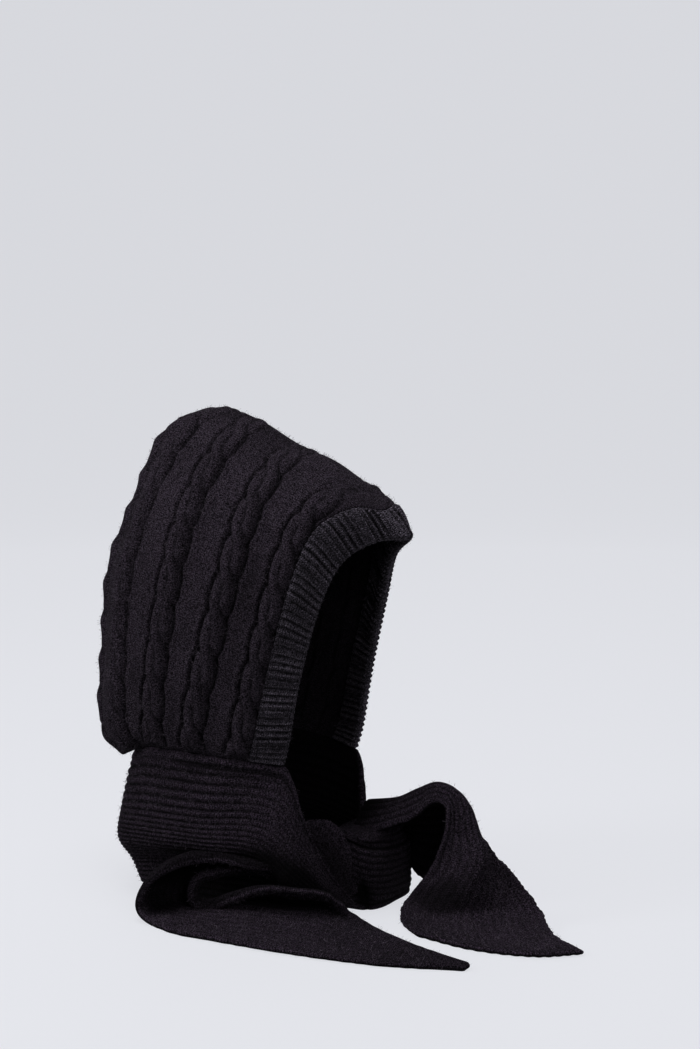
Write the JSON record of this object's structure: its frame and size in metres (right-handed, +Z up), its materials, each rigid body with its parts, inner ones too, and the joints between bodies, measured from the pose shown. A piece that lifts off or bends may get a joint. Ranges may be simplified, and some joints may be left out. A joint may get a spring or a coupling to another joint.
{
  "type": "knitted snood hood",
  "caption": "Cable-knit hood with a ribbed face band, sewn to a wide ribbed scarf that wraps the neck, knots in front and ends in pointed ties.",
  "frame": {"origin": "middle of the footprint, on the surface that the hood stands on", "axes": "+Z up, the face opening looks along -Y, and +X is the wearer's left"},
  "size_m": [0.2996, 0.5198, 0.4629],
  "materials": {
    "cable_knit": "matte black cable-knit wool",
    "rib_knit": "matte black ribbed wool",
    "scarf_knit": "matte black ribbed wool"
  },
  "bodies": {
    "root": {"hood": "cable_knit", "face_band": "rib_knit", "neck_scarf": "scarf_knit", "knot": "scarf_knit", "right_tie": "scarf_knit", "left_tie": "scarf_knit"}
  },
  "joints": []
}
